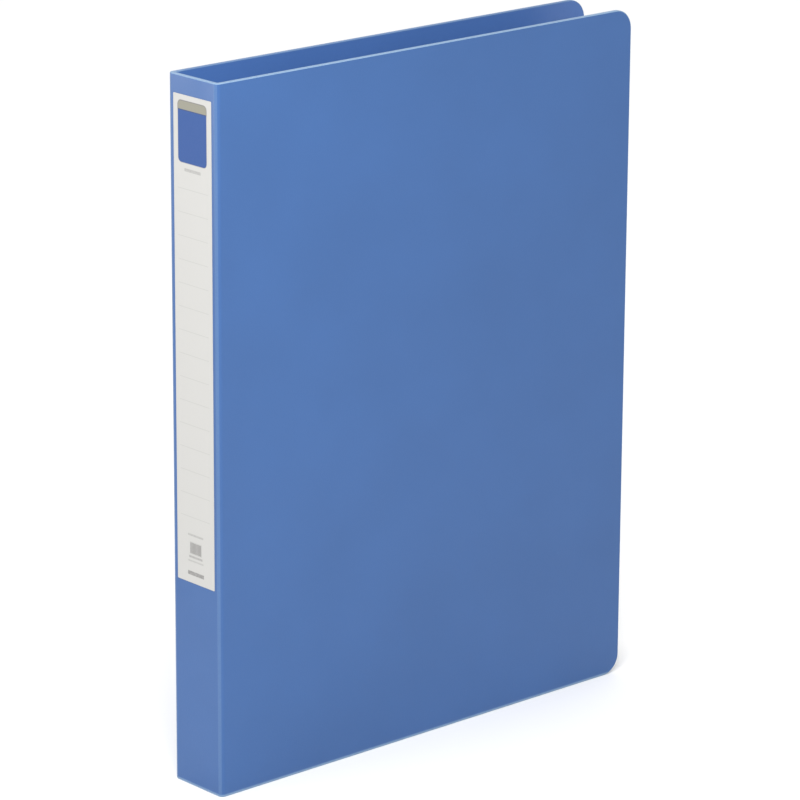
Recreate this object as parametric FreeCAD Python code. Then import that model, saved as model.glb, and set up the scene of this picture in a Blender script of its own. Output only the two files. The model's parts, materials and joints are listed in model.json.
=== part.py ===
import FreeCAD, Part
import math
import os

# Lever arch file for A4 paper, closed and standing upright. Millimetres.
# +Z up, +X from the spine to the fore edge, -Y the front cover, +Y the back cover.
# The origin is the bottom centre of the whole object's bounding box.

# ---- cover: one plastic sheet with two folds ----
cover_height = 307.0
cover_width = 234.0          # spine's outer face to the fore edge
spine_width = 31.2           # front cover's outer face to the back cover's outer face
sheet = 2.0
corner_r = 9.0               # the four fore-edge corners
fold_reach = 2.5             # each fold strip's leg, from the outer corner
fold_r = 1.0                 # outer rounding of a fold, and the depth of its bending axis

# ---- spine label ----
label_width = 24.0
label_height = 208.0
label_t = 0.2
label_drop = 7.9             # top of the sheet to the label's top

# ---- paper and posts ----
post_spacing = 80.0
paper_edge = 12.0            # post's centre to the paper's edge
paper_gap = 0.5              # between the paper's edge and the lever's outer ear
post_r = 2.25
post_bore_r = 1.3
post_height = 8.1            # above the base plate
post_shank_r = 1.8
post_sink_r = 1.8            # mouth of the hollow that takes the arch's tip
post_sink_depth = 0.8

# ---- base plate ----
plate_t = 1.0
plate_length = 144.0
plate_corner_r = 5.0
plate_margin = 5.5           # past the posts' axis
flange_t = 0.8
flange_h = 2.2
spine_gap = 1.0              # between the spine and the plate's flange
bead_w = 4.0
bead_h = 0.6
bead_length = 104.0

# ---- bent wire: shaft, crank and arches ----
wire_r = 1.5
shaft_lift = 0.5             # plate's face to the underside of the shaft
shaft_from_spine = 8.8       # spine's inner face to the shaft's axis
arch_corner_r = 7.0          # also the rise from the arch's tip to its flat top
arch_root_r = 3.0
tip_length = 1.5
tip_r = 0.5
tip_rise = 0.4               # post's top to the start of the tip's taper
crank_throw = 5.5
crank_half = 4.0             # half of the distance between the crank's legs
crank_bend_r = 2.1

# ---- bearings of the shaft ----
run_gap = 0.05               # radial, for every shaft that turns in a hole
lug_wall = 0.9
lug_width = 5.0
lug_from_arch = 10.0         # the outer lugs, from each arch
lug_middle = -14.0           # the one between the spring and the lower arch

# ---- lever, its pin, roller and axle ----
pivot_place = 17.0           # along the spine, from the middle of the posts
lever_length = 35.0
roller_reach = 8.0           # pivot to the roller's axle
roller_r = 2.5
roller_length = 3.7
roller_gap = 0.15            # between the roller and the crank when closed
side_gap = 0.2               # between neighbours along the pin
ear_gap = 0.5                # between the shaft and the inner ear
ear_t = 0.8
ear_boss_r = 1.9
ear_root = 4.6               # how far the ears' foot runs back from the pivot
lever_t = 0.7
lever_boss_r = 2.1
lever_roof = 3.0             # pivot's axis to the underside of the lever's roof
lever_notch = 0.8            # pivot's axis to the lower edge over the crank
channel_length = 26.0
grip_width = 11.0
grip_start = 23.0
grip_curl_r = 0.9
pin_r = 1.25
pin_head_r = 1.8
pin_head_t = 0.4
axle_r = 1.0
axle_proud = 0.15

# ---- opening spring round the shaft ----
spring_wire_r = 0.4
spring_gap = 0.4             # between the shaft and the coil
spring_start = -10.6
spring_turns = 7
spring_pitch = 1.15
spring_leg = 6.5
window_gap = 0.6             # round the coil, in the base plate

# ---- compressor ----
bar_width = 9.0
bar_length = 100.0
bar_t = 1.4
bar_rest = 0.3               # above the base plate
bar_hole_r = 3.3
bar_corner_r = 3.0
clip_width = 6.0
clip_t = 0.4
clip_past_post = 1.0         # how far the forked ends stop short of the post's axis
clip_rivet_place = 12.0
clip_rivet_r = 0.9
clip_head_r = 1.6
clip_head_t = 0.6

# ---- mounting rivets ----
rivet_along = 64.0
rivet_inset = 6.0            # from both long edges of the plate
rivet_r = 1.6
rivet_bore_r = 0.9
rivet_head_r = 3.2
rivet_head_t = 0.8
rivet_flare_r = 2.8
rivet_flare_t = 0.5
washer_r = 4.5
washer_t = 0.5

V = FreeCAD.Vector

# ---- places in the whole object ----
total_width = cover_width + label_t
total_depth = spine_width + washer_t + rivet_flare_t
spine_x = -total_width / 2 + label_t
fore_x = spine_x + cover_width
front_y = -total_depth / 2
back_y = front_y + spine_width
middle_z = cover_height / 2

# ---- places on the bench: x away from the spine, y along it, z above the back cover ----
shaft_z = plate_t + shaft_lift + wire_r
post_top = plate_t + post_height
tip_z = post_top + tip_rise
ear_x = wire_r + ear_gap
wall_x = ear_x + ear_t + side_gap
roller_x = wall_x + lever_t + side_gap
wall2_x = roller_x + roller_length + side_gap
ear2_x = wall2_x + lever_t + side_gap
ear_outer = ear2_x + ear_t
post_x = ear_outer + paper_gap + paper_edge
pivot_z = shaft_z + wire_r + roller_gap + roller_r
roller_y = pivot_place - roller_reach
plate_left = -shaft_from_spine + spine_gap
plate_right = post_x + plate_margin
bar_z = plate_t + bar_rest
clip_z = bar_z + bar_t
coil_r = wire_r + spring_gap + spring_wire_r
bench = FreeCAD.Placement(
    V(spine_x + sheet + shaft_from_spine, back_y - sheet, middle_z),
    FreeCAD.Rotation(V(1, 0, 0), 90),
)


def box(x0, x1, y0, y1, z0, z1):
    return Part.makeBox(x1 - x0, y1 - y0, z1 - z0, V(x0, y0, z0))


def upright(r, x, y, z0, z1):
    return Part.makeCylinder(r, z1 - z0, V(x, y, z0), V(0, 0, 1))


def across(r, x0, x1, y, z):
    return Part.makeCylinder(r, x1 - x0, V(x0, y, z), V(1, 0, 0))


def along(r, x, y0, y1, z):
    return Part.makeCylinder(r, y1 - y0, V(x, y0, z), V(0, 1, 0))


def polygon(points):
    return Part.Face(Part.makePolygon(points + points[:1]))


def rounded_plate(x0, x1, y0, y1, z0, z1, r):
    """A flat plate with four upright corners rounded."""
    solid = box(x0, x1, y0, y1, z0, z1)
    edges = [e for e in solid.Edges if abs(e.tangentAt(e.FirstParameter).z) > 0.99]
    return solid.makeFillet(r, edges)


def bent_path(corners, radii):
    """Straight runs through the corners, with a tangent arc at each inner corner."""
    edges = []
    start = corners[0]
    for before, corner, after, r in zip(corners, corners[1:], corners[2:], radii):
        back = (before - corner).normalize()
        ahead = (after - corner).normalize()
        half = back.getAngle(ahead) / 2
        reach = r / math.tan(half)
        middle = (back + ahead).normalize() * (r / math.sin(half) - r)
        first = corner + back * reach
        last = corner + ahead * reach
        if start.distanceToPoint(first) > 1e-6:
            edges.append(Part.LineSegment(start, first).toShape())
        edges.append(Part.Arc(first, corner + middle, last).toShape())
        start = last
    if start.distanceToPoint(corners[-1]) > 1e-6:
        edges.append(Part.LineSegment(start, corners[-1]).toShape())
    return Part.Wire(edges)


def swept_rod(path, r):
    """A round rod whose axis is the path."""
    edge = path.Edges[0]
    start = edge.valueAt(edge.FirstParameter)
    way = edge.tangentAt(edge.FirstParameter)
    ring = Part.Wire(Part.makeCircle(r, start, way))
    return Part.Wire(path).makePipeShell([ring], True, True)


def rivet_head(r, t, x, y, z, up):
    """A low domed head that stands on the plane at z; up is 1 or -1."""
    disc = Part.makeCylinder(r, t, V(x, y, z), V(0, 0, up))
    rim = [e for e in disc.Edges if e.Closed and abs(e.BoundBox.Center.z - z - up * t) < t / 4]
    return disc.makeFillet(0.6 * t, rim)


def cover_panel(x0, y0):
    """A flat panel from a fold strip to the fore edge, with its two free corners rounded."""
    solid = box(x0, fore_x, y0, y0 + sheet, 0, cover_height)
    corners = [
        e for e in solid.Edges
        if abs(e.tangentAt(e.FirstParameter).y) > 0.99 and abs(e.BoundBox.XMax - fore_x) < 0.01
    ]
    return solid.makeFillet(corner_r, corners)


def fold_strip(outer_y, inward):
    """The bent corner of the sheet. inward is 1 from the front face, -1 from the back face."""
    k = fold_r * (1 - math.sqrt(0.5))

    def at(x, y):
        return V(spine_x + x, outer_y + inward * y, 0)

    outline = [
        Part.LineSegment(at(fold_reach, 0), at(fold_r, 0)).toShape(),
        Part.Arc(at(fold_r, 0), at(k, k), at(0, fold_r)).toShape(),
    ]
    inner = [at(0, fold_r), at(0, fold_reach), at(sheet, fold_reach), at(sheet, sheet),
             at(fold_reach, sheet), at(fold_reach, 0)]
    outline += [Part.LineSegment(a, b).toShape() for a, b in zip(inner, inner[1:])]
    return Part.Face(Part.Wire(outline)).extrude(V(0, 0, cover_height))


def spine_panel():
    return box(spine_x, spine_x + sheet, front_y + fold_reach, back_y - fold_reach,
               0, cover_height)


def spine_label():
    middle_y = (front_y + back_y) / 2
    top = cover_height - label_drop
    return box(spine_x - label_t, spine_x, middle_y - label_width / 2,
               middle_y + label_width / 2, top - label_height, top)


def rivet_spots():
    xs = (plate_left + rivet_inset, plate_right - rivet_inset)
    return [(x, y) for x in xs for y in (-rivet_along, rivet_along)]


def post_spots():
    return [(post_x, -post_spacing / 2), (post_x, post_spacing / 2)]


def back_cover():
    panel = cover_panel(spine_x + fold_reach, back_y - sheet)
    holes = [upright(rivet_r, x, y, -sheet - 1, 1) for x, y in rivet_spots()]
    for hole in holes:
        hole.Placement = bench.multiply(hole.Placement)
    return panel.cut(holes)


def shaft_lug(y):
    """A tab curled round the shaft, with its foot in the plate."""
    outer = wire_r + run_gap + lug_wall
    y0 = y - lug_width / 2
    y1 = y + lug_width / 2
    foot = box(-outer, outer, y0, y1, plate_t / 2, shaft_z)
    return foot.fuse(along(outer, 0, y0, y1, shaft_z))


def lever_ear(x):
    """An upright ear with a round head that holds one end of the lever's pin."""
    near = pivot_place - ear_boss_r
    far = pivot_place + ear_boss_r
    face = polygon([
        V(x, near, plate_t / 2), V(x, near, pivot_z), V(x, far, pivot_z),
        V(x, pivot_place + ear_root, plate_t + 1.5), V(x, pivot_place + ear_root, plate_t / 2),
    ])
    web = face.extrude(V(ear_t, 0, 0))
    return web.fuse(across(ear_boss_r, x, x + ear_t, pivot_place, pivot_z))


def base_plate():
    half = plate_length / 2
    plate = rounded_plate(plate_left, plate_right, -half, half, 0, plate_t, plate_corner_r)
    flange = box(plate_left, plate_left + flange_t, -half + plate_corner_r,
                 half - plate_corner_r, plate_t / 2, flange_h)
    bead_x = (ear_outer + post_x - bar_width / 2) / 2
    bead = rounded_plate(bead_x - bead_w / 2, bead_x + bead_w / 2, -bead_length / 2,
                         bead_length / 2, plate_t / 2, plate_t + bead_h, bead_w / 2.1)
    lug_end = post_spacing / 2 - lug_from_arch
    lugs = [shaft_lug(y) for y in (lug_end, lug_middle, -lug_end)]
    ears = [lever_ear(x) for x in (ear_x, ear2_x)]
    plate = plate.fuse([flange, bead] + lugs + ears)
    coil_outer = coil_r + spring_wire_r + window_gap
    coil_end = spring_start + spring_turns * spring_pitch
    cuts = [
        along(wire_r + run_gap, 0, -half, half, shaft_z),
        across(pin_r, 0, ear_outer + 1, pivot_place, pivot_z),
        box(-coil_outer, coil_outer, spring_start - window_gap - spring_wire_r,
            coil_end + window_gap + spring_wire_r, -1, plate_t + 0.01),
    ]
    cuts += [upright(rivet_r, x, y, -1, plate_t + 1) for x, y in rivet_spots()]
    cuts += [upright(post_shank_r, x, y, -1, plate_t + 1) for x, y in post_spots()]
    return plate.cut(cuts)


def fixed_post(x, y):
    """A hollow post, riveted into the plate, with a conical mouth for the arch's tip."""
    tube = upright(post_r, x, y, plate_t, post_top).fuse(upright(post_shank_r, x, y, 0, plate_t))
    bore = upright(post_bore_r, x, y, -1, post_top + 1)
    mouth = Part.makeCone(post_bore_r, post_sink_r, post_sink_depth,
                          V(x, y, post_top - post_sink_depth), V(0, 0, 1))
    return tube.cut([bore, mouth])


def arch_wire():
    """One bent wire: tip, arch, shaft, crank, shaft, arch, tip."""
    far = post_spacing / 2
    top = tip_z + arch_corner_r
    half_path = [V(post_x, far, tip_z), V(post_x, far, top), V(0, far, top), V(0, far, shaft_z)]
    crank = [
        V(0, roller_y + crank_half, shaft_z), V(crank_throw, roller_y + crank_half, shaft_z),
        V(crank_throw, roller_y - crank_half, shaft_z), V(0, roller_y - crank_half, shaft_z),
    ]
    mirrored = [V(p.x, -p.y, p.z) for p in reversed(half_path)]
    bends = [arch_corner_r, arch_corner_r, arch_root_r]
    radii = bends + [crank_bend_r] * 4 + bends[::-1]
    rod = swept_rod(bent_path(half_path + crank + mirrored, radii), wire_r)
    tips = [Part.makeCone(tip_r, wire_r, tip_length, V(x, y, tip_z - tip_length), V(0, 0, 1))
            for x, y in post_spots()]
    return rod.fuse(tips).removeSplitter()


def lever_wall(x, over_crank):
    """One side of the lever's channel, from the pivot towards the grip."""
    def at(s, k):
        return V(x, pivot_place - s, pivot_z + k)

    roof = lever_roof + lever_t
    low = -lever_boss_r + 0.1
    head = polygon([at(-lever_boss_r, 0), at(-lever_boss_r, roof), at(roller_reach, roof),
                    at(roller_reach, -lever_notch if over_crank else low),
                    at(0, -lever_notch if over_crank else low)])
    tail = polygon([at(roller_reach, low), at(roller_reach, roof), at(channel_length, roof),
                    at(channel_length, lever_roof - 0.5), at(channel_length - 6, low)])
    wall = head.extrude(V(lever_t, 0, 0)).fuse([
        tail.extrude(V(lever_t, 0, 0)),
        across(lever_boss_r, x, x + lever_t, pivot_place, pivot_z),
        across(lever_boss_r - 0.1, x, x + lever_t, roller_y, pivot_z),
    ])
    return wall


def lever():
    """A pressed channel whose roof widens into the finger grip."""
    z0 = pivot_z + lever_roof
    z1 = z0 + lever_t
    outer = wall2_x + lever_t
    end = pivot_place - lever_length
    middle_x = (wall_x + outer) / 2
    roof = box(wall_x, outer, pivot_place - channel_length, pivot_place + lever_boss_r, z0, z1)
    grip = box(middle_x - grip_width / 2, middle_x + grip_width / 2, end,
               pivot_place - grip_start, z0, z1)
    upright_edges = [e for e in grip.Edges if abs(e.tangentAt(e.FirstParameter).z) > 0.99]
    grip = grip.makeFillet(grip_width * 0.3, upright_edges)
    curl_half = grip_width * 0.2
    curl = Part.makeCylinder(grip_curl_r, 2 * curl_half,
                             V(middle_x - curl_half, end + grip_curl_r, z1 - grip_curl_r),
                             V(1, 0, 0))
    body = roof.fuse([grip, curl, lever_wall(wall_x, True), lever_wall(wall2_x, False)])
    holes = [
        across(pin_r + run_gap, wall_x - 1, outer + 1, pivot_place, pivot_z),
        across(axle_r, wall_x - 1, outer + 1, roller_y, pivot_z),
    ]
    return body.cut(holes).removeSplitter()


def lever_pivot_pin():
    x0 = ear_x
    x1 = ear_outer
    shank = across(pin_r, x0, x1, pivot_place, pivot_z)
    heads = [across(pin_head_r, x0 - pin_head_t, x0, pivot_place, pivot_z),
             across(pin_head_r, x1, x1 + pin_head_t, pivot_place, pivot_z)]
    return shank.fuse(heads).removeSplitter()


def roller():
    x1 = roller_x + roller_length
    wheel = across(roller_r, roller_x, x1, roller_y, pivot_z)
    rims = [e for e in wheel.Edges if e.Closed]
    wheel = wheel.makeChamfer(0.25, rims)
    return wheel.cut(across(axle_r + run_gap, roller_x - 1, x1 + 1, roller_y, pivot_z))


def roller_axle():
    return across(axle_r, wall_x - axle_proud, wall2_x + lever_t + axle_proud,
                  roller_y, pivot_z)


def opening_spring():
    """A coil round the shaft with two straight legs towards the crank's side."""
    height = spring_turns * spring_pitch
    helix = Part.makeHelix(spring_pitch, height, coil_r)
    ring = Part.Wire(Part.makeCircle(spring_wire_r, V(coil_r, 0, 0), V(0, 1, 0)))
    coil = Part.Wire(helix).makePipeShell([ring], True, True)
    coil.rotate(V(0, 0, 0), V(1, 0, 0), -90)
    coil.translate(V(0, spring_start, shaft_z))
    low_leg = across(spring_wire_r, coil_r, coil_r + spring_leg, spring_start,
                     plate_t + spring_wire_r)
    rise = Part.makeCylinder(spring_wire_r, shaft_z - plate_t - spring_wire_r,
                             V(coil_r, spring_start, plate_t + spring_wire_r), V(0, 0, 1))
    elbow = Part.makeSphere(spring_wire_r, V(coil_r, spring_start, plate_t + spring_wire_r))
    high_leg = across(spring_wire_r, coil_r, coil_r + spring_leg * 0.6, spring_start + height,
                      shaft_z)
    return coil.fuse([low_leg, rise, elbow, high_leg])


def compressor_bar():
    bar = rounded_plate(post_x - bar_width / 2, post_x + bar_width / 2, -bar_length / 2,
                        bar_length / 2, bar_z, bar_z + bar_t, bar_corner_r)
    holes = [upright(bar_hole_r, x, y, 0, clip_z + 1) for x, y in post_spots()]
    holes += [upright(clip_rivet_r, post_x, y, 0, clip_z + 1)
              for y in (-clip_rivet_place, clip_rivet_place)]
    return bar.cut(holes)


def compressor_clip():
    """A flat spring on the bar, with forked ends beside the posts."""
    half = post_spacing / 2 - clip_past_post
    strip = box(post_x - clip_width / 2, post_x + clip_width / 2, -half, half,
                clip_z, clip_z + clip_t)
    holes = [upright(bar_hole_r, x, y, 0, clip_z + 1) for x, y in post_spots()]
    holes += [upright(clip_rivet_r, post_x, y, 0, clip_z + 1)
              for y in (-clip_rivet_place, clip_rivet_place)]
    return strip.cut(holes)


def compressor_rivets():
    solids = []
    top = clip_z + clip_t
    for y in (-clip_rivet_place, clip_rivet_place):
        shank = upright(clip_rivet_r, post_x, y, bar_z, top)
        solids.append(shank.fuse(rivet_head(clip_head_r, clip_head_t, post_x, y, top, 1)))
    return Part.makeCompound(solids)


def mounting_rivets():
    """Hollow rivets: head on the base plate, flare over the washer behind the back cover."""
    solids = []
    outside = -sheet - washer_t
    for x, y in rivet_spots():
        shank = upright(rivet_r, x, y, outside - rivet_flare_t / 2, plate_t)
        head = rivet_head(rivet_head_r, rivet_head_t, x, y, plate_t, 1)
        flare = rivet_head(rivet_flare_r, rivet_flare_t, x, y, outside, -1)
        bore = upright(rivet_bore_r, x, y, outside - 1, plate_t - 0.5)
        solids.append(shank.fuse([head, flare]).cut(bore))
    return Part.makeCompound(solids)


def rivet_washers():
    solids = []
    for x, y in rivet_spots():
        disc = upright(washer_r, x, y, -sheet - washer_t, -sheet)
        solids.append(disc.cut(upright(rivet_r, x, y, -sheet - 1, 0)))
    return Part.makeCompound(solids)


upper = post_spots()[1]
lower = post_spots()[0]
cover_parts = {
    "front_cover": cover_panel(spine_x + fold_reach, front_y),
    "spine_panel": spine_panel(),
    "back_cover": back_cover(),
    "front_fold": fold_strip(front_y, 1),
    "rear_fold": fold_strip(back_y, -1),
    "spine_label": spine_label(),
}
bench_parts = {
    "base_plate": base_plate(),
    "fixed_post_upper": fixed_post(*upper),
    "fixed_post_lower": fixed_post(*lower),
    "arch_wire": arch_wire(),
    "lever": lever(),
    "lever_pivot_pin": lever_pivot_pin(),
    "roller": roller(),
    "roller_axle": roller_axle(),
    "opening_spring": opening_spring(),
    "compressor_bar": compressor_bar(),
    "compressor_clip": compressor_clip(),
    "compressor_rivets": compressor_rivets(),
    "mounting_rivets": mounting_rivets(),
    "rivet_washers": rivet_washers(),
}

os.makedirs("parts", exist_ok=True)
for name, shape in cover_parts.items():
    shape.exportStep("parts/" + name + ".step")
for name, shape in bench_parts.items():
    placed = shape.copy()
    placed.Placement = bench.multiply(placed.Placement)
    placed.exportStep("parts/" + name + ".step")

print("shaft axis", bench.Base.x, bench.Base.y - shaft_z, "pivot height", pivot_z, "post x", post_x)
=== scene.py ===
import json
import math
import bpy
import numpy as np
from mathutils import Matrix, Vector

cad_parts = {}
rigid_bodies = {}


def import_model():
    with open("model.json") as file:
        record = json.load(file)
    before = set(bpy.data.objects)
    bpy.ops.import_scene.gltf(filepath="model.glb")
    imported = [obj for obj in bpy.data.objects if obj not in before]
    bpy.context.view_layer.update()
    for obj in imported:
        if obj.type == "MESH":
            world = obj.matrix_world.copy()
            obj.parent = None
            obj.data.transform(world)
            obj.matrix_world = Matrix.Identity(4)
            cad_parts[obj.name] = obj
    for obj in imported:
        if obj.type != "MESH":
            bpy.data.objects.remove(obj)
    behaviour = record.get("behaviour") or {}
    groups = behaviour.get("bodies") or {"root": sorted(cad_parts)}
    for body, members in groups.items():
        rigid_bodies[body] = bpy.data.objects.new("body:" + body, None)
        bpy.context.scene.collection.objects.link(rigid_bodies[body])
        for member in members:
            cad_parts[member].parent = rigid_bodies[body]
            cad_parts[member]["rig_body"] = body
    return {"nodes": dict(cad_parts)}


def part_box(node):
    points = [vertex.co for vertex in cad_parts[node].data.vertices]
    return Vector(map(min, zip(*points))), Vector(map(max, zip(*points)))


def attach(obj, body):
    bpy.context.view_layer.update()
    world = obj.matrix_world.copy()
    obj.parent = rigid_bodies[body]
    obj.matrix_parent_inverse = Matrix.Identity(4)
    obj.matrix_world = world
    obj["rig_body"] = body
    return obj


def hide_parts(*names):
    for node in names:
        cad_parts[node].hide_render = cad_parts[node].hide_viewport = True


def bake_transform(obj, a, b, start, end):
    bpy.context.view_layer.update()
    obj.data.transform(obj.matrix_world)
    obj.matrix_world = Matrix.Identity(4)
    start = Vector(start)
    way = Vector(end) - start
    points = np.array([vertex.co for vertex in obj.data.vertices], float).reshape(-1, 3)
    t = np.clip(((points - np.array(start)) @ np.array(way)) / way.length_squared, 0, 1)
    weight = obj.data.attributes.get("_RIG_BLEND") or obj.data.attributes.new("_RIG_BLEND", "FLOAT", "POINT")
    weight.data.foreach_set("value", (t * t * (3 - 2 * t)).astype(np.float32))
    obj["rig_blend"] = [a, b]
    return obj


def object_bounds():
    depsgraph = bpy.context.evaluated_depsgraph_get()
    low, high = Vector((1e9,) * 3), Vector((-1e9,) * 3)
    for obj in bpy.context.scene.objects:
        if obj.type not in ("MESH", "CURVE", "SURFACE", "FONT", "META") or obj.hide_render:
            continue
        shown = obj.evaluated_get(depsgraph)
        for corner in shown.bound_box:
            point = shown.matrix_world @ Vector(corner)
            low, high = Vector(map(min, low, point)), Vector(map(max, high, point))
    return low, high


bl_info = {
    "name": "Lever Arch File",
    "version": (1, 0, 0),
    "blender": (4, 5, 0),
    "location": "3D View > Sidebar > Lever Arch File",
    "description": "Builds the detailed lever arch file round its packed frame",
    "category": "Add Mesh",
}

import bmesh
import bpy
from bpy.props import FloatProperty, FloatVectorProperty, IntProperty, PointerProperty
from mathutils import Matrix, Vector

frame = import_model()
cad_low, cad_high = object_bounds()

MM = 0.001
QUARTER = math.pi / 2
SAME = 1e-6                     # two places closer than this are one place
ALIGNED = 0.99                  # the cosine above which two directions are one
SLIGHT = 0.05                   # the cosine from which a face counts as turned that way
RIM_STEPS = 4                   # segments of a rounded rim

# ---- places that the frame gives, in metres ----
front_low, front_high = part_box("front_cover")
_, back_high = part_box("back_cover")
spine_low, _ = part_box("spine_panel")
label_low, label_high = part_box("spine_label")

SPINE_X = spine_low.x
FORE_X = front_high.x
FRONT_Y = front_low.y
BACK_Y = back_high.y
SHEET = front_high.y - front_low.y
HEIGHT = front_high.z

# ---- where the camera looks and where the lights stand, in metres ----
AIM = Vector(((cad_low.x + cad_high.x) / 2 - 2.5 * MM, 0.3 * MM, 148.7 * MM))
KEY_PLACE, KEY_TARGET, KEY_SIZE = (-0.44, -0.42, 0.6), (0.0, 0.0, 0.15), (0.35, 0.35)
SIDE_PLACE, SIDE_TARGET, SIDE_SIZE = (-0.55, 0.42, 0.22), (SPINE_X, 0.0, 0.25), (0.22, 0.14)

# half width, top and bottom below the label's top, in mm, and how dark each plain bar is
LABEL_MARKS = (
    (5.2, 30.4, 31.7, 0.44),
    (5.0, 186.5, 187.4, 0.40),
    (3.9, 189.9, 195.4, 0.25),
    (4.4, 196.0, 197.0, 0.50),
    (5.0, 198.0, 198.7, 0.32),
    (5.2, 202.9, 204.6, 0.80),
)


# ---------------------------------------------------------------- settings

def length(name, description, default, low=0.0):
    """A size in metres for the sidebar."""
    return FloatProperty(name=name, description=description, default=default, min=low,
                         precision=5, unit="LENGTH", subtype="DISTANCE")


def colour(name, description, default):
    """A linear colour for the sidebar."""
    return FloatVectorProperty(name=name, description=description, default=default,
                               size=3, min=0.0, max=1.0, subtype="COLOR")


def share(name, description, default):
    """A number from 0 to 1 for the sidebar."""
    return FloatProperty(name=name, description=description, default=default,
                         min=0.0, max=1.0, subtype="FACTOR")


def angle(name, description, default):
    """An angle for the sidebar; the default is given in degrees."""
    return FloatProperty(name=name, description=description, default=math.radians(default),
                         unit="ROTATION", subtype="ANGLE")


def amount(name, description, default, unit="NONE"):
    """A plain number for the sidebar, with its unit if it has one."""
    return FloatProperty(name=name, description=description, default=default, min=0.0, unit=unit)


class CoverSettings(bpy.types.PropertyGroup):
    """Sizes and finish of the folded plastic cover."""
    corner_radius: length("Corner radius", "Rounding of the fore-edge corners", 9.0 * MM)
    rim_round: length("Rim rounding", "Rounding of the sheet's cut edges", 0.4 * MM)
    fold_round: length("Fold rounding", "Outer radius of the two folds", 2.1 * MM)
    fold_leg: length("Fold reach", "Outer corner to where a fold piece ends", 8.0 * MM)
    plastic: colour("Plastic", "Colour of the grained outer side", (0.0375, 0.104, 0.278))
    # Painted shade: the back cover's rims keep only this share of the cut-edge paling, so they read darker
    # than the front's, as if in shade.
    back_rim_shade: share("Back rim", "Share of the rim's paling that the back cover has", 0.4)
    # Painted light: the inner side is coloured lighter than the outer plastic to stand for light that
    # reaches inside the file.
    inner: colour("Inner side", "Colour of the smooth inner side", (0.062, 0.145, 0.378))
    # The cut-edge colour is partly the sheared plastic's own paler colour and partly a painted highlight for
    # the light that the top edges catch.
    cut_edge: colour("Cut edge", "Colour of the sheared edges", (0.230, 0.340, 0.470))
    # Painted highlight: a paler stripe on the outside of each fold, on its spine half, stands for the light
    # that the rounded fold catches.
    fold_highlight: share("Fold paling", "How much paler the outer side of a fold is", 0.2)
    # Painted highlight: a paler band just above the bottom rim stands for the light line along the sheets'
    # bottom edges.
    band: length("Edge band", "Height of the paler band above the bottom rim", 0.7 * MM)
    grain_size: length("Grain size", "Width of one dimple of the matt grain", 0.55 * MM)
    grain_depth: length("Grain depth", "Height of the matt grain", 0.03 * MM)
    roughness: share("Roughness", "Mean roughness of the matt plastic", 0.36)


class LabelSettings(bpy.types.PropertyGroup):
    """The paper label on the spine and its print."""
    paper: colour("Paper", "Colour of the label paper", (0.462, 0.457, 0.441))
    window: colour("Panel", "Colour of the printed panel", (0.0195, 0.067, 0.232))
    strip: colour("Strip", "Colour of the strip at the panel's top", (0.235, 0.228, 0.182))
    ink: colour("Ink", "Colour of the grey print", (0.160, 0.155, 0.150))
    window_width: length("Panel width", "Width of the printed panel", 18.2 * MM)
    window_top: length("Panel top", "Label's top to the panel's top", 2.4 * MM)
    window_bottom: length("Panel bottom", "Label's top to the panel's bottom", 28.2 * MM)
    window_round: length("Panel corner", "Corner radius of the printed panel", 2.0 * MM)
    strip_height: length("Strip height", "Height of the strip at the panel's top", 3.7 * MM)
    corner: length("Card corner", "Corner radius of the paper card", 0.4 * MM)
    rim: length("Card rim", "Rounding of the paper card's outer edges", 0.06 * MM)
    rule_first: length("First rule", "Label's top to the first writing line", 39.1 * MM)
    rule_pitch: length("Rule spacing", "Distance between writing lines", 10.0 * MM)
    rule_count: IntProperty(name="Rules", description="Number of writing lines", default=15, min=1)


class MetalSettings(bpy.types.PropertyGroup):
    """Finish and edge rounding of the metal mechanism."""
    plate: colour("Plate", "Colour of the nickel-plated pressings", (0.70, 0.685, 0.65))
    wire: colour("Wire", "Colour of the bright plated wire and posts", (0.78, 0.765, 0.73))
    steel: colour("Turned steel", "Colour of pins, roller and rivets", (0.62, 0.62, 0.61))
    spring: colour("Spring steel", "Colour of the springs", (0.45, 0.45, 0.46))
    plate_roughness: share("Plate roughness", "Mean roughness of the pressings", 0.24)
    wire_roughness: share("Wire roughness", "Mean roughness of the wire", 0.15)
    steel_roughness: share("Steel roughness", "Mean roughness of the turned steel", 0.27)
    spring_roughness: share("Spring roughness", "Mean roughness of the springs", 0.30)
    plate_edge: length("Plate edges", "Rounding of the base plate's edges", 0.15 * MM)
    lever_edge: length("Lever edges", "Rounding of the lever's edges", 0.16 * MM)
    strip_edge: length("Strip edges", "Rounding of the compressor strip's edges", 0.25 * MM)
    clip_edge: length("Clip edges", "Rounding of the spring clip's edges", 0.08 * MM)
    post_edge: length("Post edges", "Rounding of the posts' edges", 0.2 * MM)
    pin_edge: length("Pin edges", "Rounding of the pins' and roller's edges", 0.1 * MM)


class StageSettings(bpy.types.PropertyGroup):
    """Camera, floor and lights."""
    azimuth: angle("Azimuth", "Camera's turn from the front, towards the spine", -41.98)
    elevation: angle("Elevation", "Camera's angle above the horizon", 16.74)
    roll: angle("Roll", "Camera's turn about its own axis", 0.32)
    distance: length("Distance", "Camera to the point it looks at", 1.8574)
    lens: amount("Lens", "Focal length in millimetres on a 36 mm sensor", 194.1, "CAMERA")
    floor_radius: length("Floor radius", "Radius of the round floor", 9.0)
    floor: colour("Floor", "Colour of the floor", (0.86, 0.86, 0.86))
    surround: amount("Surround", "Brightness of the studio round the object", 0.95)
    key: amount("Key light", "Power of the soft light above the front fold", 4.3, "POWER")
    side: amount("Side light", "Power of the soft light behind the spine's side", 0.6, "POWER")
    top: amount("Top light", "Strength of the wide soft light overhead", 1.0)


# ---------------------------------------------------------------- material helpers

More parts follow.
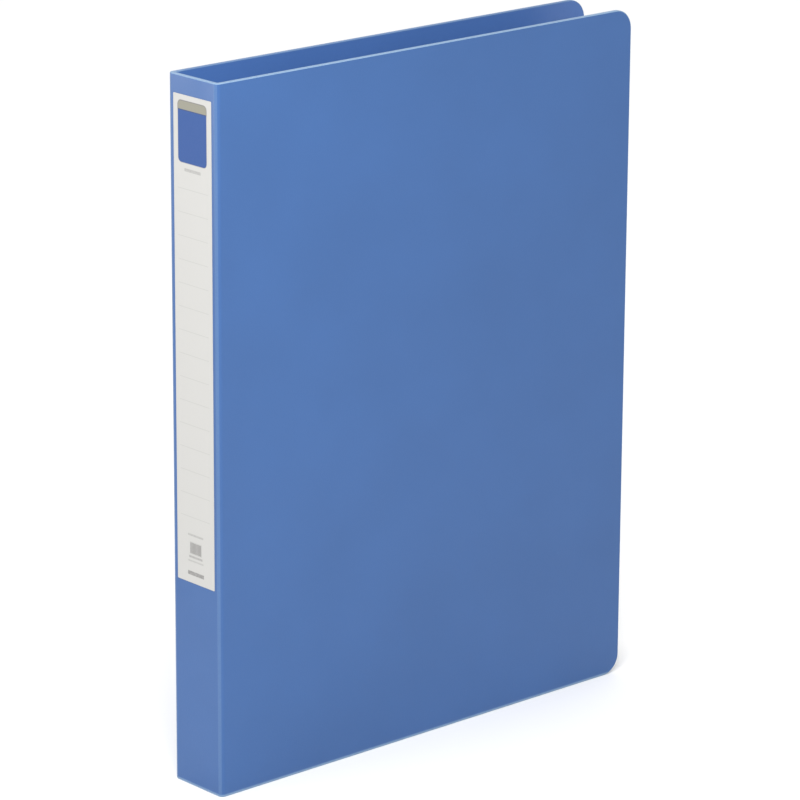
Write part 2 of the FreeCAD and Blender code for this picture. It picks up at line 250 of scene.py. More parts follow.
def new_material(name):
    """A node material with its shader and output only."""
    material = bpy.data.materials.new(name)
    material.use_nodes = True
    tree = material.node_tree
    tree.nodes.clear()
    output = tree.nodes.new("ShaderNodeOutputMaterial")
    shader = tree.nodes.new("ShaderNodeBsdfPrincipled")
    tree.links.new(shader.outputs["BSDF"], output.inputs["Surface"])
    return material, tree, shader


def feed(tree, socket, value):
    """Links an output to a socket, or writes a constant on it."""
    if isinstance(value, bpy.types.NodeSocket):
        tree.links.new(value, socket)
    elif isinstance(value, (tuple, list)) and len(value) == 3 and socket.type == "RGBA":
        socket.default_value = (*value, 1.0)
    else:
        socket.default_value = value


def math_node(tree, operation, a, b=0.0, c=0.0):
    """One arithmetic step on numbers."""
    node = tree.nodes.new("ShaderNodeMath")
    node.operation = operation
    for socket, value in zip(node.inputs, (a, b, c)):
        feed(tree, socket, value)
    return node.outputs[0]


def mix_colour(tree, factor, a, b, blend="MIX"):
    """One colour laid over another."""
    node = tree.nodes.new("ShaderNodeMix")
    node.data_type = "RGBA"
    node.blend_type = blend
    feed(tree, node.inputs["Factor"], factor)
    feed(tree, node.inputs[6], a)
    feed(tree, node.inputs[7], b)
    return node.outputs[2]


def spread(tree, value, low, high, to_low, to_high, smooth=False):
    """Maps a range of numbers to another, clamped."""
    node = tree.nodes.new("ShaderNodeMapRange")
    node.interpolation_type = "SMOOTHSTEP" if smooth else "LINEAR"
    for socket, item in zip(node.inputs, (value, low, high, to_low, to_high)):
        feed(tree, socket, item)
    return node.outputs["Result"]


def place_nodes(tree, centre=(0.0, 0.0, 0.0), scale=(1.0, 1.0, 1.0)):
    """Object coordinates, centred and stretched."""
    where = tree.nodes.new("ShaderNodeTexCoord").outputs["Object"]
    mapping = tree.nodes.new("ShaderNodeMapping")
    mapping.vector_type = "TEXTURE"
    tree.links.new(where, mapping.inputs["Vector"])
    mapping.inputs["Location"].default_value = centre
    mapping.inputs["Scale"].default_value = scale
    return mapping.outputs["Vector"]


def noise(tree, where, size, detail=2.0, roughness=0.5):
    """Noise whose features are about that size, in metres. 0 to 1."""
    node = tree.nodes.new("ShaderNodeTexNoise")
    tree.links.new(where, node.inputs["Vector"])
    node.inputs["Scale"].default_value = 1.0 / size
    node.inputs["Detail"].default_value = detail
    node.inputs["Roughness"].default_value = roughness
    return node.outputs["Fac"]


def cells(tree, where, size):
    """Smoothed distance to the nearest of scattered points about that far apart."""
    node = tree.nodes.new("ShaderNodeTexVoronoi")
    node.feature = "SMOOTH_F1"
    tree.links.new(where, node.inputs["Vector"])
    node.inputs["Scale"].default_value = 1.0 / size
    return node.outputs["Distance"]


def bump(tree, shader, height, distance):
    """Raises the surface by height times distance, in metres."""
    node = tree.nodes.new("ShaderNodeBump")
    node.inputs["Strength"].default_value = 1.0
    node.inputs["Distance"].default_value = distance
    tree.links.new(height, node.inputs["Height"])
    tree.links.new(node.outputs["Normal"], shader.inputs["Normal"])


def cover_plastic(settings):
    """Matt blue plastic: grain, clouding, paler sheared edges, and painted light: highlights on edges and
    folds, shade on the back rim, a lighter inner side.
    """
    if "matt_blue_plastic" in bpy.data.materials:
        return bpy.data.materials["matt_blue_plastic"]
    material, tree, shader = new_material("matt_blue_plastic")
    where = place_nodes(tree)
    cloud = noise(tree, where, 45 * MM, 3.0)
    speck = noise(tree, where, 0.9 * MM, 2.0)
    tone = spread(tree, cloud, 0.3, 0.7, 0.965, 1.035)
    fine = spread(tree, speck, 0.25, 0.75, 0.985, 1.015)
    tone = math_node(tree, "MULTIPLY", tone, fine)
    grey = tree.nodes.new("ShaderNodeCombineColor")
    for socket in grey.inputs[:3]:
        tree.links.new(tone, socket)
    side = tree.nodes.new("ShaderNodeAttribute")
    side.attribute_name = "inner_side"
    inner = side.outputs["Fac"]
    # painted light: the inner side takes the lighter inner colour
    base = mix_colour(tree, inner, tuple(settings.plastic), tuple(settings.inner))
    base = mix_colour(tree, 1.0, base, grey.outputs[0], "MULTIPLY")
    rim = tree.nodes.new("ShaderNodeAttribute")
    rim.attribute_name = "cut_edge"
    shear = noise(tree, place_nodes(tree, scale=(1.0, 1.0, 0.25)), 1.2 * MM, 3.0)
    parts = tree.nodes.new("ShaderNodeSeparateXYZ")
    tree.links.new(where, parts.inputs[0])
    # painted highlight along the bottom edges
    band = spread(tree, parts.outputs["Z"], settings.band, 2.0 * settings.band, 0.9, 0.0)
    paler = math_node(tree, "MAXIMUM", rim.outputs["Fac"], band)
    paler = math_node(tree, "MULTIPLY", paler, spread(tree, shear, 0.2, 0.8, 0.6, 1.0))
    # The paling is partly the cut edges' own colour and partly painted light: highlights on edges, folds and
    # bottom band, and painted shade on the back rim.
    base = mix_colour(tree, paler, base, tuple(settings.cut_edge))
    tree.links.new(base, shader.inputs["Base Color"])
    rough = spread(tree, noise(tree, where, 12 * MM, 4.0), 0.3, 0.7,
                   settings.roughness - 0.03, settings.roughness + 0.03)
    rough = math_node(tree, "MULTIPLY_ADD", paler, 0.05, rough)
    rough = math_node(tree, "MULTIPLY_ADD", inner, -0.05, rough)
    tree.links.new(rough, shader.inputs["Roughness"])
    shader.inputs["IOR"].default_value = 1.49
    shader.inputs["Specular IOR Level"].default_value = 0.36
    grain = cells(tree, where, settings.grain_size)
    waves = noise(tree, where, 6 * MM, 2.0)
    grain = math_node(tree, "MULTIPLY", grain, spread(tree, inner, 0.0, 1.0, 1.0, 0.3))
    height = math_node(tree, "MULTIPLY_ADD", waves, 0.8, grain)
    bump(tree, shader, height, settings.grain_depth)
    return material


def rounded_panel(tree, across, down, half_width, top, bottom, corner):
    """Signed distance in metres to a rounded rectangle on the label, negative inside."""
    half_height = (bottom - top) / 2
    x = math_node(tree, "SUBTRACT", math_node(tree, "ABSOLUTE", across), half_width - corner)
    y = math_node(tree, "SUBTRACT", down, (top + bottom) / 2)
    y = math_node(tree, "SUBTRACT", math_node(tree, "ABSOLUTE", y), half_height - corner)
    x = math_node(tree, "MAXIMUM", x, 0.0)
    y = math_node(tree, "MAXIMUM", y, 0.0)
    squares = math_node(tree, "MULTIPLY_ADD", x, x, math_node(tree, "MULTIPLY", y, y))
    return math_node(tree, "SUBTRACT", math_node(tree, "SQRT", squares), corner)


def inside(tree, distance):
    """1 inside a signed distance, 0 outside, with a soft edge as print has."""
    soft = 0.05 * MM
    return spread(tree, distance, -soft, soft, 1.0, 0.0)


def writing_lines(tree, across, down, settings):
    """1 on the faint lines to write on, 0 elsewhere."""
    half_thick, half_wide = 0.13 * MM, 9.6 * MM
    top = settings.rule_first - settings.rule_pitch / 2
    bottom = top + settings.rule_pitch * settings.rule_count
    row = math_node(tree, "FLOORED_MODULO", math_node(tree, "SUBTRACT", down, top),
                    settings.rule_pitch)
    row = math_node(tree, "ABSOLUTE", math_node(tree, "SUBTRACT", row, settings.rule_pitch / 2))
    line = inside(tree, math_node(tree, "SUBTRACT", row, half_thick))
    field = rounded_panel(tree, across, down, half_wide, top, bottom, 0.1 * MM)
    return math_node(tree, "MULTIPLY", line, inside(tree, field))


def printed_panel(tree, base, across, down, settings):
    """The panel at the label's top, with its strip and outline, laid over base."""
    ink, shade = tuple(settings.ink), (0.030, 0.045, 0.090)
    panel = rounded_panel(tree, across, down, settings.window_width / 2, settings.window_top,
                          settings.window_bottom, settings.window_round)
    in_panel = inside(tree, panel)
    base = mix_colour(tree, in_panel, base, tuple(settings.window))
    strip_end = settings.window_top + settings.strip_height
    above = inside(tree, math_node(tree, "SUBTRACT", down, strip_end))
    base = mix_colour(tree, math_node(tree, "MULTIPLY", in_panel, above), base,
                      tuple(settings.strip))
    half_thick = 0.2 * MM
    under = math_node(tree, "SUBTRACT", down, strip_end + half_thick)
    under = math_node(tree, "SUBTRACT", math_node(tree, "ABSOLUTE", under), half_thick)
    under = math_node(tree, "MULTIPLY", in_panel, inside(tree, under))
    base = mix_colour(tree, math_node(tree, "MULTIPLY", under, 0.6), base, shade)
    outline = math_node(tree, "SUBTRACT", math_node(tree, "ABSOLUTE", panel), half_thick)
    darkness = spread(tree, down, strip_end, strip_end + 1 * MM, 0.85, 0.3)
    return mix_colour(tree, math_node(tree, "MULTIPLY", inside(tree, outline), darkness), base, ink)


def plain_marks(tree, base, where, across, down, settings):
    """Plain bars and one barred block, laid over base where such a label has small print."""
    ink = tuple(settings.ink)
    wear = spread(tree, noise(tree, where, 1.1 * MM, 1.0), 0.38, 0.58, 0.75, 1.0)
    for half_width, top, bottom, strength in LABEL_MARKS:
        mark = inside(tree, rounded_panel(tree, across, down, half_width * MM, top * MM,
                                          bottom * MM, 0.2 * MM))
        mark = math_node(tree, "MULTIPLY", mark, wear)
        base = mix_colour(tree, math_node(tree, "MULTIPLY", mark, strength), base, ink)
    half_width, top, bottom = 3.5 * MM, 190.3 * MM, 195.0 * MM
    half_pitch, half_bar = 0.4 * MM, 0.24 * MM
    block = inside(tree, rounded_panel(tree, across, down, half_width, top, bottom, 0.1 * MM))
    bar = math_node(tree, "PINGPONG", across, half_pitch)
    bar = inside(tree, math_node(tree, "SUBTRACT", bar, half_bar))
    block = math_node(tree, "MULTIPLY", block, math_node(tree, "MULTIPLY", bar, 0.9))
    return mix_colour(tree, block, base, ink)


def label_paper(settings):
    """Off-white label paper with a printed panel, writing lines and small plain marks."""
    material, tree, shader = new_material("printed_label")
    centre = (label_low + label_high) / 2
    where = place_nodes(tree, centre=(centre.x, centre.y, label_high.z))
    parts = tree.nodes.new("ShaderNodeSeparateXYZ")
    tree.links.new(where, parts.inputs[0])
    across = parts.outputs["Y"]
    down = math_node(tree, "MULTIPLY", parts.outputs["Z"], -1.0)
    fibre = noise(tree, place_nodes(tree, scale=(1.0, 1.0, 2.5)), 0.35 * MM, 3.0)
    tint = spread(tree, fibre, 0.3, 0.7, 0.0, 0.045)
    dull = (0.44, 0.42, 0.38)
    base = mix_colour(tree, tint, tuple(settings.paper), dull)
    line = math_node(tree, "MULTIPLY", writing_lines(tree, across, down, settings), 0.22)
    base = mix_colour(tree, line, base, tuple(settings.ink))
    base = printed_panel(tree, base, across, down, settings)
    base = plain_marks(tree, base, where, across, down, settings)
    tree.links.new(base, shader.inputs["Base Color"])
    tree.links.new(spread(tree, fibre, 0.3, 0.7, 0.62, 0.72), shader.inputs["Roughness"])
    bump(tree, shader, fibre, 0.012 * MM)
    return material


def metal(kind, settings):
    """The metal of that kind (plate, wire, steel or spring), made the first time.

    Plated or polished, with fine working marks; the plate's are drawn along its length."""
    name = "mechanism_" + kind
    if name in bpy.data.materials:
        return bpy.data.materials[name]
    base_colour = getattr(settings, kind)
    roughness = getattr(settings, kind + "_roughness")
    draw = (1.0, 1.0, 14.0) if kind == "plate" else (1.0, 1.0, 1.0)
    material, tree, shader = new_material(name)
    marks = noise(tree, place_nodes(tree, scale=draw), 0.25 * MM, 3.0, 0.6)
    cloud = noise(tree, place_nodes(tree), 7 * MM, 3.0)
    darker = tuple(0.72 * c for c in base_colour)
    cloud_share, marks_share = 0.16, 0.10
    tint = math_node(tree, "MULTIPLY", spread(tree, cloud, 0.3, 0.7, 0.0, 1.0), cloud_share)
    tint = math_node(tree, "ADD", tint, spread(tree, marks, 0.3, 0.7, 0.0, marks_share))
    tree.links.new(mix_colour(tree, tint, tuple(base_colour), darker), shader.inputs["Base Color"])
    shader.inputs["Metallic"].default_value = 1.0
    rough = math_node(tree, "ADD", spread(tree, marks, 0.3, 0.7, -0.02, 0.03),
                      spread(tree, cloud, 0.3, 0.7, roughness - 0.02, roughness + 0.03))
    tree.links.new(rough, shader.inputs["Roughness"])
    bump(tree, shader, marks, 0.003 * MM)
    return material


# ---------------------------------------------------------------- mesh helpers

def finished_piece(bm, name, material, body):
    """Turns a bmesh into a smooth-shaded piece that rides on a body, or on none yet."""
    bmesh.ops.recalc_face_normals(bm, faces=bm.faces)
    for face in bm.faces:
        face.smooth = True
    for edge in bm.edges:
        edge.smooth = edge.calc_face_angle(0.0) < math.radians(45.0)
    mesh = bpy.data.meshes.new(name)
    bm.to_mesh(mesh)
    bm.free()
    mesh.materials.append(material)
    piece = bpy.data.objects.new(name, mesh)
    bpy.context.scene.collection.objects.link(piece)
    shading = piece.modifiers.new("Even shading", "WEIGHTED_NORMAL")
    shading.keep_sharp = True
    shading.weight = 80
    if body:
        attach(piece, body)
    return piece


def block_mesh(low, high):
    """A bmesh box between two corners."""
    bm = bmesh.new()
    bmesh.ops.create_cube(bm, size=1.0)
    bmesh.ops.scale(bm, vec=high - low, verts=bm.verts)
    bmesh.ops.translate(bm, vec=(low + high) / 2, verts=bm.verts)
    return bm


def round_edges(bm, edges, radius, segments):
    """Rounds edges with a circular profile."""
    return bmesh.ops.bevel(bm, geom=edges, offset=radius, offset_type="OFFSET",
                           segments=segments, profile=0.5, affect="EDGES", material=-1)


def mark_sides(bm, is_broad, is_inner, rim=1.0):
    """Writes two values to every face's corners, for the material.

    cut_edge is rim off the sheet's two broad faces, inner_side is 1 on the inner one."""
    cut = bm.loops.layers.float.new("cut_edge")
    inner = bm.loops.layers.float.new("inner_side")
    for face in bm.faces:
        broad = is_broad(face)
        for corner in face.loops:
            corner[cut] = 0.0 if broad else rim
            corner[inner] = 1.0 if broad and is_inner(face) else 0.0


def sheet_panel(low, high, across, joined, settings, rounded_side=None, rim=1.0):
    """A flat piece of the cover sheet with rounded rims.

    across is the direction across the sheet to its inner side, joined the outward
    directions that meet a fold, and rounded_side the outward direction of the side whose
    two corners are rounded."""
    bm = block_mesh(low, high)
    if rounded_side is not None:
        corners = [e for e in bm.edges
                   if abs((e.verts[0].co - e.verts[1].co).normalized().dot(across)) > ALIGNED
                   and all((v.co - (low + high) / 2).dot(rounded_side) > 0 for v in e.verts)]
        round_edges(bm, corners, settings.corner_radius, 16)
    bm.normal_update()

    def is_broad(face):
        return abs(face.normal.dot(across)) > ALIGNED

    def is_joined(face):
        return any(face.normal.dot(way) > ALIGNED for way in joined)

    rims = []
    for edge in bm.edges:
        broad = [f for f in edge.link_faces if is_broad(f)]
        side = [f for f in edge.link_faces if not is_broad(f)]
        if broad and side and not is_joined(side[0]):
            rims.append(edge)
    round_edges(bm, rims, settings.rim_round, RIM_STEPS)
    bm.normal_update()
    largest = max(f.calc_area() for f in bm.faces)
    mark_sides(bm, lambda f: is_broad(f) and f.calc_area() > largest / 2,
               lambda f: f.normal.dot(across) > 0, rim)
    return bm


def fold_mesh(outer_y, inward, rim, settings):
    """The bent corner of the sheet: leg, arc, leg, drawn up to the full height.

    inward is 1 from the front face and -1 from the back face, and rim is the paling of the
    rim where the piece meets its cover."""
    bm = bmesh.new()
    leg_end = SPINE_X + settings.fold_leg
    radius = settings.fold_round
    first = bm.verts.new((leg_end, outer_y, 0.0))
    second = bm.verts.new((leg_end, outer_y + inward * SHEET, 0.0))
    edge = bm.edges.new((first, second))
    fine, fine_steps, arc_steps = 0.45 * MM, 6, 12
    coarse = settings.fold_leg - radius - fine * fine_steps

    def push(edge, way):
        made = bmesh.ops.extrude_edge_only(bm, edges=[edge])["geom"]
        bmesh.ops.translate(bm, vec=way, verts=[v for v in made if isinstance(v, bmesh.types.BMVert)])
        return [e for e in made if isinstance(e, bmesh.types.BMEdge)][0]

    edge = push(edge, Vector((-coarse, 0.0, 0.0)))
    for _ in range(fine_steps):
        edge = push(edge, Vector((-fine, 0.0, 0.0)))
    turned = bmesh.ops.spin(
        bm, geom=[edge, *edge.verts], cent=(SPINE_X + radius, outer_y + inward * radius, 0.0),
        axis=(0.0, 0.0, 1.0), angle=-inward * QUARTER, steps=arc_steps, use_merge=False)
    edge = [e for e in turned["geom_last"] if isinstance(e, bmesh.types.BMEdge)][0]
    for _ in range(fine_steps):
        edge = push(edge, Vector((0.0, inward * fine, 0.0)))
    push(edge, Vector((0.0, inward * coarse, 0.0)))
    bmesh.ops.recalc_face_normals(bm, faces=bm.faces)
    raised = bmesh.ops.extrude_face_region(bm, geom=bm.faces[:], use_keep_orig=True)["geom"]
    bmesh.ops.translate(bm, vec=(0.0, 0.0, HEIGHT),
                        verts=[v for v in raised if isinstance(v, bmesh.types.BMVert)])
    bmesh.ops.recalc_face_normals(bm, faces=bm.faces)
    bm.normal_update()

    def is_end(face):
        return abs(face.normal.z) > ALIGNED

    def is_joint(face):
        x_side = abs(face.calc_center_median().x - leg_end) < SAME
        y_side = abs(face.calc_center_median().y - outer_y - inward * settings.fold_leg) < SAME
        return x_side or y_side

    rims = []
    for edge in bm.edges:
        ends = [f for f in edge.link_faces if is_end(f)]
        sides = [f for f in edge.link_faces if not is_end(f)]
        if ends and sides and not is_joint(sides[0]):
            rims.append(edge)
    round_edges(bm, rims, settings.rim_round, RIM_STEPS)
    bm.normal_update()

    def is_wall(face):
        heights = [v.co.z for v in face.verts]
        return max(heights) - min(heights) > HEIGHT / 2

    def is_highlit(face):
        """True on the outside of the bend, in the half nearer the spine, where the painted fold highlight
        goes.
        """
        middle = 0.66
        return face.normal.y * inward < -SLIGHT and face.normal.x < -middle

    mark_sides(bm, is_wall, lambda f: f.normal.y * inward > SLIGHT or f.normal.x > SLIGHT)
    cut = bm.loops.layers.float["cut_edge"]
    for face in bm.faces:
        for corner in face.loops:
            if not is_wall(face):
                # On the rear crease the ends' rim paling fades to the back cover's share, as painted shade.
                along = (corner.vert.co.x - SPINE_X) / settings.fold_leg
                corner[cut] = 1.0 + (rim - 1.0) * along
            elif is_highlit(face):
                # painted highlight: the fold's spine half is paled as if it caught the light
                corner[cut] = settings.fold_highlight
    return bm


def softened(node, name, material, radius):
    """A copy of a CAD node with its loose triangles merged and its sharp edges rounded."""
    bm = bmesh.new()
    bm.from_mesh(frame["nodes"][node].data)
    for layer in list(bm.loops.layers.uv):
        bm.loops.layers.uv.remove(layer)
    bmesh.ops.remove_doubles(bm, verts=bm.verts, dist=0.002 * MM)
    bmesh.ops.dissolve_degenerate(bm, dist=0.001 * MM, edges=bm.edges)
    bmesh.ops.dissolve_limit(bm, angle_limit=math.radians(1.0), verts=bm.verts, edges=bm.edges)
    bm.normal_update()
    sharp = math.radians(32.0)
    edges = [e for e in bm.edges if e.is_manifold and e.calc_face_angle(0.0) > sharp]
    bmesh.ops.bevel(bm, geom=edges, offset=radius, offset_type="OFFSET", segments=2,
                    profile=0.5, affect="EDGES", material=-1, clamp_overlap=True)
    piece = finished_piece(bm, name, material, frame["nodes"][node]["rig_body"])
    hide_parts(node)
    return piece


def dress(node, material):
    """Gives a carried-over CAD node its material."""
    piece = frame["nodes"][node]
    piece.data.materials.clear()
    piece.data.materials.append(material)


# ---------------------------------------------------------------- operators

class LEVERFILE_OT_cover_sheets(bpy.types.Operator):
    """Make the two cover sheets and the spine sheet"""
    bl_idname = "lever_file.cover_sheets"
    bl_label = "Cover Sheets"

    def execute(self, context):
        settings = context.scene.lever_file_cover
        plastic = cover_plastic(settings)
        join = SPINE_X + settings.fold_leg
        left = Vector((-1.0, 0.0, 0.0))
        right = Vector((1.0, 0.0, 0.0))
        near = Vector((0.0, -1.0, 0.0))
        far = Vector((0.0, 1.0, 0.0))
        front = sheet_panel(Vector((join, FRONT_Y, 0.0)), Vector((FORE_X, FRONT_Y + SHEET, HEIGHT)),
                            far, [left], settings, right)
        piece = finished_piece(front, "front_sheet", plastic, "front")
        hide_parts("front_cover")
        # The back sheet's rims take the smaller share of paling, as painted shade.
        back = sheet_panel(Vector((join, BACK_Y - SHEET, 0.0)), Vector((FORE_X, BACK_Y, HEIGHT)),
                           near, [left], settings, right, settings.back_rim_shade)
        piece = finished_piece(back, "back_sheet", plastic, "back")
        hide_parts("back_cover")
        leg = settings.fold_leg
        spine = sheet_panel(Vector((SPINE_X, FRONT_Y + leg, 0.0)),
                            Vector((SPINE_X + SHEET, BACK_Y - leg, HEIGHT)), right, [near, far],
                            settings)
        piece = finished_piece(spine, "spine_sheet", plastic, "spine")
        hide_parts("spine_panel")
        return {"FINISHED"}


class LEVERFILE_OT_folds(bpy.types.Operator):
    """Make the two folds that join the covers to the spine"""
    bl_idname = "lever_file.folds"
    bl_label = "Folds"

    def execute(self, context):
        settings = context.scene.lever_file_cover
        plastic = cover_plastic(settings)
        reach = settings.fold_round
        past = 0.2 * MM
        for name, node, outer_y, inward, rim, body in (
            ("front_crease", "front_fold", FRONT_Y, 1.0, 1.0, "front"),
            # the rear crease's rims take the back cover's smaller share of paling, as painted shade
            ("rear_crease", "rear_fold", BACK_Y, -1.0, settings.back_rim_shade, "back"),
        ):
            piece = finished_piece(fold_mesh(outer_y, inward, rim, settings), name, plastic, None)
            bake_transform(piece, body, "spine",
                     start=(SPINE_X + reach, outer_y - inward * past, 0.0),
                     end=(SPINE_X - past, outer_y + inward * reach, 0.0))
            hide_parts(node)
        return {"FINISHED"}


class LEVERFILE_OT_label(bpy.types.Operator):
    """Make the paper label on the spine"""
    bl_idname = "lever_file.label"
    bl_label = "Spine Label"

    def execute(self, context):
        settings = context.scene.lever_file_label
        paper = label_paper(settings)
        bm = block_mesh(label_low, label_high)
        corners = [e for e in bm.edges if abs(e.verts[0].co.x - e.verts[1].co.x) > SAME]
        round_edges(bm, corners, settings.corner, RIM_STEPS)
        bm.normal_update()
        face = [f for f in bm.faces if f.normal.x < -ALIGNED][0]
        round_edges(bm, list(face.edges), settings.rim, 2)
        piece = finished_piece(bm, "label_card", paper, "spine")
        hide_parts("spine_label")
        return {"FINISHED"}


class LEVERFILE_OT_base_plate(bpy.types.Operator):
    """Make the pressed base plate of the mechanism"""
    bl_idname = "lever_file.base_plate"
    bl_label = "Base Plate"

    def execute(self, context):
        settings = context.scene.lever_file_metal
        softened("base_plate", "plate_pressing", metal("plate", settings),
                 settings.plate_edge)
        return {"FINISHED"}


class LEVERFILE_OT_posts(bpy.types.Operator):
    """Make the two hollow posts"""
    bl_idname = "lever_file.posts"
    bl_label = "Fixed Posts"

    def execute(self, context):
        settings = context.scene.lever_file_metal
        for end in ("upper", "lower"):
            softened("fixed_post_" + end, "post_tube_" + end, metal("wire", settings),
                     settings.post_edge)
        return {"FINISHED"}


class LEVERFILE_OT_arch_wire(bpy.types.Operator):
    """Finish the bent wire that makes both arches and the crank"""
    bl_idname = "lever_file.arch_wire"
    bl_label = "Arch Wire"

    def execute(self, context):
        dress("arch_wire", metal("wire", context.scene.lever_file_metal))
        return {"FINISHED"}


class LEVERFILE_OT_lever(bpy.types.Operator):
    """Make the folded sheet lever"""
    bl_idname = "lever_file.lever"
    bl_label = "Lever"

    def execute(self, context):
        settings = context.scene.lever_file_metal
        softened("lever", "lever_pressing", metal("plate", settings),
                 settings.lever_edge)
        return {"FINISHED"}


class LEVERFILE_OT_pins_and_roller(bpy.types.Operator):
    """Make the lever's pivot pin, its roller and the roller's axle"""
    bl_idname = "lever_file.pins_and_roller"
    bl_label = "Pins and Roller"

    def execute(self, context):
        settings = context.scene.lever_file_metal
        for node, name, slot in (
            ("lever_pivot_pin", "lever_pin", "pin_steel"),
            ("roller", "lever_roller", "roller_steel"),
            ("roller_axle", "lever_axle", "pin_steel"),
        ):
            softened(node, name, metal("steel", settings), settings.pin_edge)
        return {"FINISHED"}


class LEVERFILE_OT_opening_spring(bpy.types.Operator):
    """Finish the coiled spring that lifts the arches"""
    bl_idname = "lever_file.opening_spring"
    bl_label = "Opening Spring"

    def execute(self, context):
        dress("opening_spring", metal("spring", context.scene.lever_file_metal))
        return {"FINISHED"}


class LEVERFILE_OT_compressor(bpy.types.Operator):
    """Make the strip that holds the sheets down and its spring clip"""
    bl_idname = "lever_file.compressor"
    bl_label = "Compressor"

    def execute(self, context):
        settings = context.scene.lever_file_metal
        softened("compressor_bar", "compressor_strip", metal("plate", settings),
                 settings.strip_edge)
        softened("compressor_clip", "compressor_spring", metal("spring", settings),
                 settings.clip_edge)
        return {"FINISHED"}


class LEVERFILE_OT_rivets(bpy.types.Operator):
    """Finish the rivets of plate and compressor and make the washers under them"""
    bl_idname = "lever_file.rivets"
    bl_label = "Rivets and Washers"

    def execute(self, context):
        settings = context.scene.lever_file_metal
        for node in ("compressor_rivets", "mounting_rivets"):
            dress(node, metal("steel", settings))
        softened("rivet_washers", "back_washers", metal("plate", settings),
                 settings.pin_edge)
        return {"FINISHED"}


def soft_light(name, place, target, size, watts):
    """A large soft light that faces a point."""
    data = bpy.data.lights.new(name, "AREA")
    data.shape = "RECTANGLE"
    data.size, data.size_y = size
    data.energy = watts
    light = bpy.data.objects.new(name, data)
    light.location = place
    light.rotation_mode = "QUATERNION"
    light.rotation_quaternion = (Vector(target) - Vector(place)).to_track_quat("-Z", "Y")
    light.visible_camera = False
    bpy.context.scene.collection.objects.link(light)


class LEVERFILE_OT_stage(bpy.types.Operator):
    """Make the floor, the soft lights and the camera"""
    bl_idname = "lever_file.stage"
    bl_label = "Stage"

    def execute(self, context):
        settings = context.scene.lever_file_stage
        scene = context.scene
        scene.view_settings.view_transform = "Standard"
        bm = bmesh.new()
        bmesh.ops.create_circle(bm, cap_ends=True, segments=96, radius=settings.floor_radius)
        mesh = bpy.data.meshes.new("studio_floor")
        bm.to_mesh(mesh)
        bm.free()
        material, tree, shader = new_material("floor_paper")
        tone = noise(tree, place_nodes(tree), 0.8, 2.0)
        pale = tuple(settings.floor)
        tree.links.new(mix_colour(tree, spread(tree, tone, 0.2, 0.8, 0.0, 0.03), pale,
                                  tuple(0.9 * c for c in pale)), shader.inputs["Base Color"])
        shader.inputs["Roughness"].default_value = 0.9
        mesh.materials.append(material)
        floor = bpy.data.objects.new("studio_floor", mesh)
        scene.collection.objects.link(floor)

        world = bpy.data.worlds.new("studio")
        world.use_nodes = True
        tree = world.node_tree
        tree.nodes.clear()
        output = tree.nodes.new("ShaderNodeOutputWorld")
        shade = tree.nodes.new("ShaderNodeBackground")
        where = tree.nodes.new("ShaderNodeTexCoord").outputs["Generated"]
        parts = tree.nodes.new("ShaderNodeSeparateXYZ")
        tree.links.new(where, parts.inputs[0])
        level = spread(tree, parts.outputs["Z"], 0.1, 0.6, 0.5, 0.95, smooth=True)
        grey = tree.nodes.new("ShaderNodeCombineColor")
        for socket in grey.inputs[:3]:
            tree.links.new(level, socket)
        tree.links.new(grey.outputs[0], shade.inputs["Color"])
        shade.inputs["Strength"].default_value = settings.surround
        tree.links.new(shade.outputs[0], output.inputs["Surface"])
        scene.world = world

        soft_light("key_light", KEY_PLACE, KEY_TARGET, KEY_SIZE, settings.key)
        soft_light("side_light", SIDE_PLACE, SIDE_TARGET, SIDE_SIZE, settings.side)
        data = bpy.data.lights.new("top_light", "SUN")
        data.energy = settings.top
        data.angle = math.radians(80.0)
        top = bpy.data.objects.new("top_light", data)
        scene.collection.objects.link(top)

        turn, rise = settings.azimuth, settings.elevation
        back = Vector((math.sin(turn) * math.cos(rise), -math.cos(turn) * math.cos(rise),
                       math.sin(rise)))
        data = bpy.data.cameras.new("studio_camera")
        data.sensor_width = 36.0
        data.lens = settings.lens
        data.clip_start = 0.05
        data.clip_end = 40.0
        camera = bpy.data.objects.new("studio_camera", data)
        camera.rotation_mode = "QUATERNION"
        camera.location = AIM + back * settings.distance
        level = (-back).to_track_quat("-Z", "Y")
        camera.rotation_quaternion = level @ Matrix.Rotation(settings.roll, 3, "Z").to_quaternion()
        scene.collection.objects.link(camera)
        scene.camera = camera
        return {"FINISHED"}


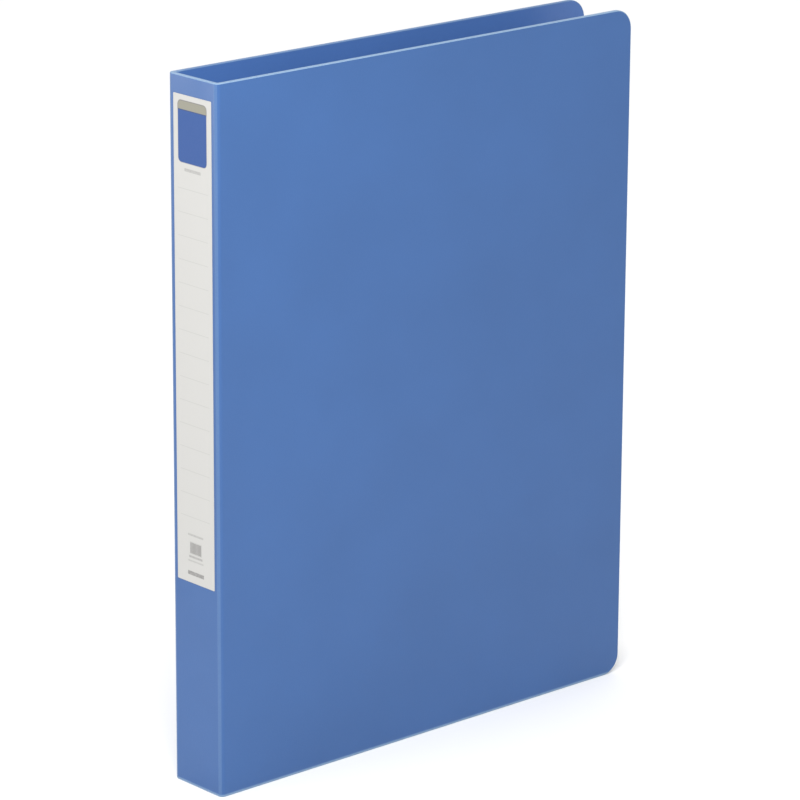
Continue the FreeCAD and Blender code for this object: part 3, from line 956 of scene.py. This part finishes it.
class LEVERFILE_PT_sidebar(bpy.types.Panel):
    """Lists the pieces and their sizes"""
    bl_idname = "LEVERFILE_PT_sidebar"
    bl_label = "Lever Arch File"
    bl_space_type = "VIEW_3D"
    bl_region_type = "UI"
    bl_category = "Lever Arch File"

    def draw(self, context):
        layout = self.layout
        for operator in OPERATORS:
            layout.operator(operator.bl_idname)
        for heading, settings in (
            ("Cover", context.scene.lever_file_cover),
            ("Label", context.scene.lever_file_label),
            ("Metal", context.scene.lever_file_metal),
            ("Stage", context.scene.lever_file_stage),
        ):
            layout.label(text=heading)
            for name in settings.__annotations__:
                layout.prop(settings, name)


SETTINGS = (
    ("lever_file_cover", CoverSettings),
    ("lever_file_label", LabelSettings),
    ("lever_file_metal", MetalSettings),
    ("lever_file_stage", StageSettings),
)
OPERATORS = (
    LEVERFILE_OT_stage,
    LEVERFILE_OT_cover_sheets,
    LEVERFILE_OT_folds,
    LEVERFILE_OT_label,
    LEVERFILE_OT_base_plate,
    LEVERFILE_OT_posts,
    LEVERFILE_OT_arch_wire,
    LEVERFILE_OT_lever,
    LEVERFILE_OT_pins_and_roller,
    LEVERFILE_OT_opening_spring,
    LEVERFILE_OT_compressor,
    LEVERFILE_OT_rivets,
)


def register():
    """Adds the settings, operators and panel."""
    for name, group in SETTINGS:
        bpy.utils.register_class(group)
        setattr(bpy.types.Scene, name, PointerProperty(type=group))
    for operator in OPERATORS:
        bpy.utils.register_class(operator)
    bpy.utils.register_class(LEVERFILE_PT_sidebar)


def unregister():
    """Takes the panel, operators and settings away again."""
    bpy.utils.unregister_class(LEVERFILE_PT_sidebar)
    for operator in reversed(OPERATORS):
        bpy.utils.unregister_class(operator)
    for name, group in reversed(SETTINGS):
        delattr(bpy.types.Scene, name)
        bpy.utils.unregister_class(group)


def main():
    """Builds every piece."""
    register()
    bpy.ops.lever_file.stage()
    bpy.ops.lever_file.cover_sheets()
    bpy.ops.lever_file.folds()
    bpy.ops.lever_file.label()
    bpy.ops.lever_file.base_plate()
    bpy.ops.lever_file.posts()
    bpy.ops.lever_file.arch_wire()
    bpy.ops.lever_file.lever()
    bpy.ops.lever_file.pins_and_roller()
    bpy.ops.lever_file.opening_spring()
    bpy.ops.lever_file.compressor()
    bpy.ops.lever_file.rivets()


if __name__ == "__main__":
    main()
